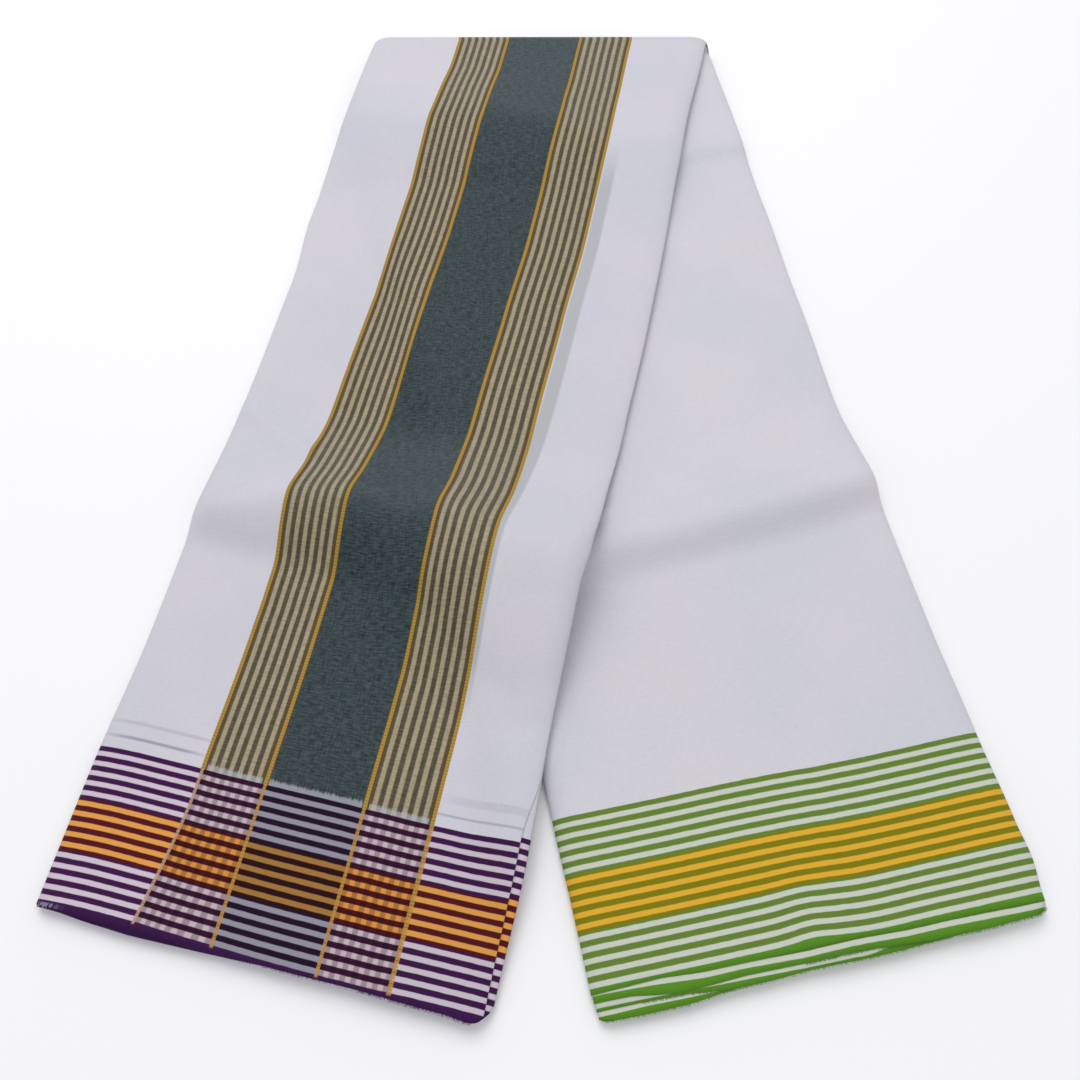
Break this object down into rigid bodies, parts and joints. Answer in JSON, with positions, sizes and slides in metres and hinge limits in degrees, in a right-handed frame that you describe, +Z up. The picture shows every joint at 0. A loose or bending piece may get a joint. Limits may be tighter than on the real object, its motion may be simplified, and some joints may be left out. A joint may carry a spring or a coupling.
{
  "type": "folded dhoti cloth",
  "caption": "Length of woven cotton cloth with striped borders, folded lengthwise into a strip, turned back on itself and laid in an inverted V.",
  "frame": {"origin": "centre of the bounding box's bottom face, on the surface the cloth lies on", "axes": "+Z up; the turn across the strip is at +Y, both hems point to -Y, and the upper arm runs to -X"},
  "size_m": [0.4864, 0.6572, 0.0427],
  "materials": {
    "outer_cloth": "plain woven bleached cotton, matt",
    "lower_arm_cloth": "plain woven bleached cotton, matt",
    "purple_border": "yarn-dyed striped cotton, matt",
    "green_border": "yarn-dyed striped cotton, matt",
    "folded_layers": "layered folded edges of bleached cotton, matt"
  },
  "bodies": {
    "root": {"outer_cloth": "outer_cloth", "lower_arm_cloth": "lower_arm_cloth", "purple_hem_layer_2": "purple_border", "purple_hem_layer_3": "purple_border", "green_hem_layer_2": "green_border", "green_hem_layer_3": "green_border", "folded_layers": "folded_layers"}
  },
  "joints": []
}
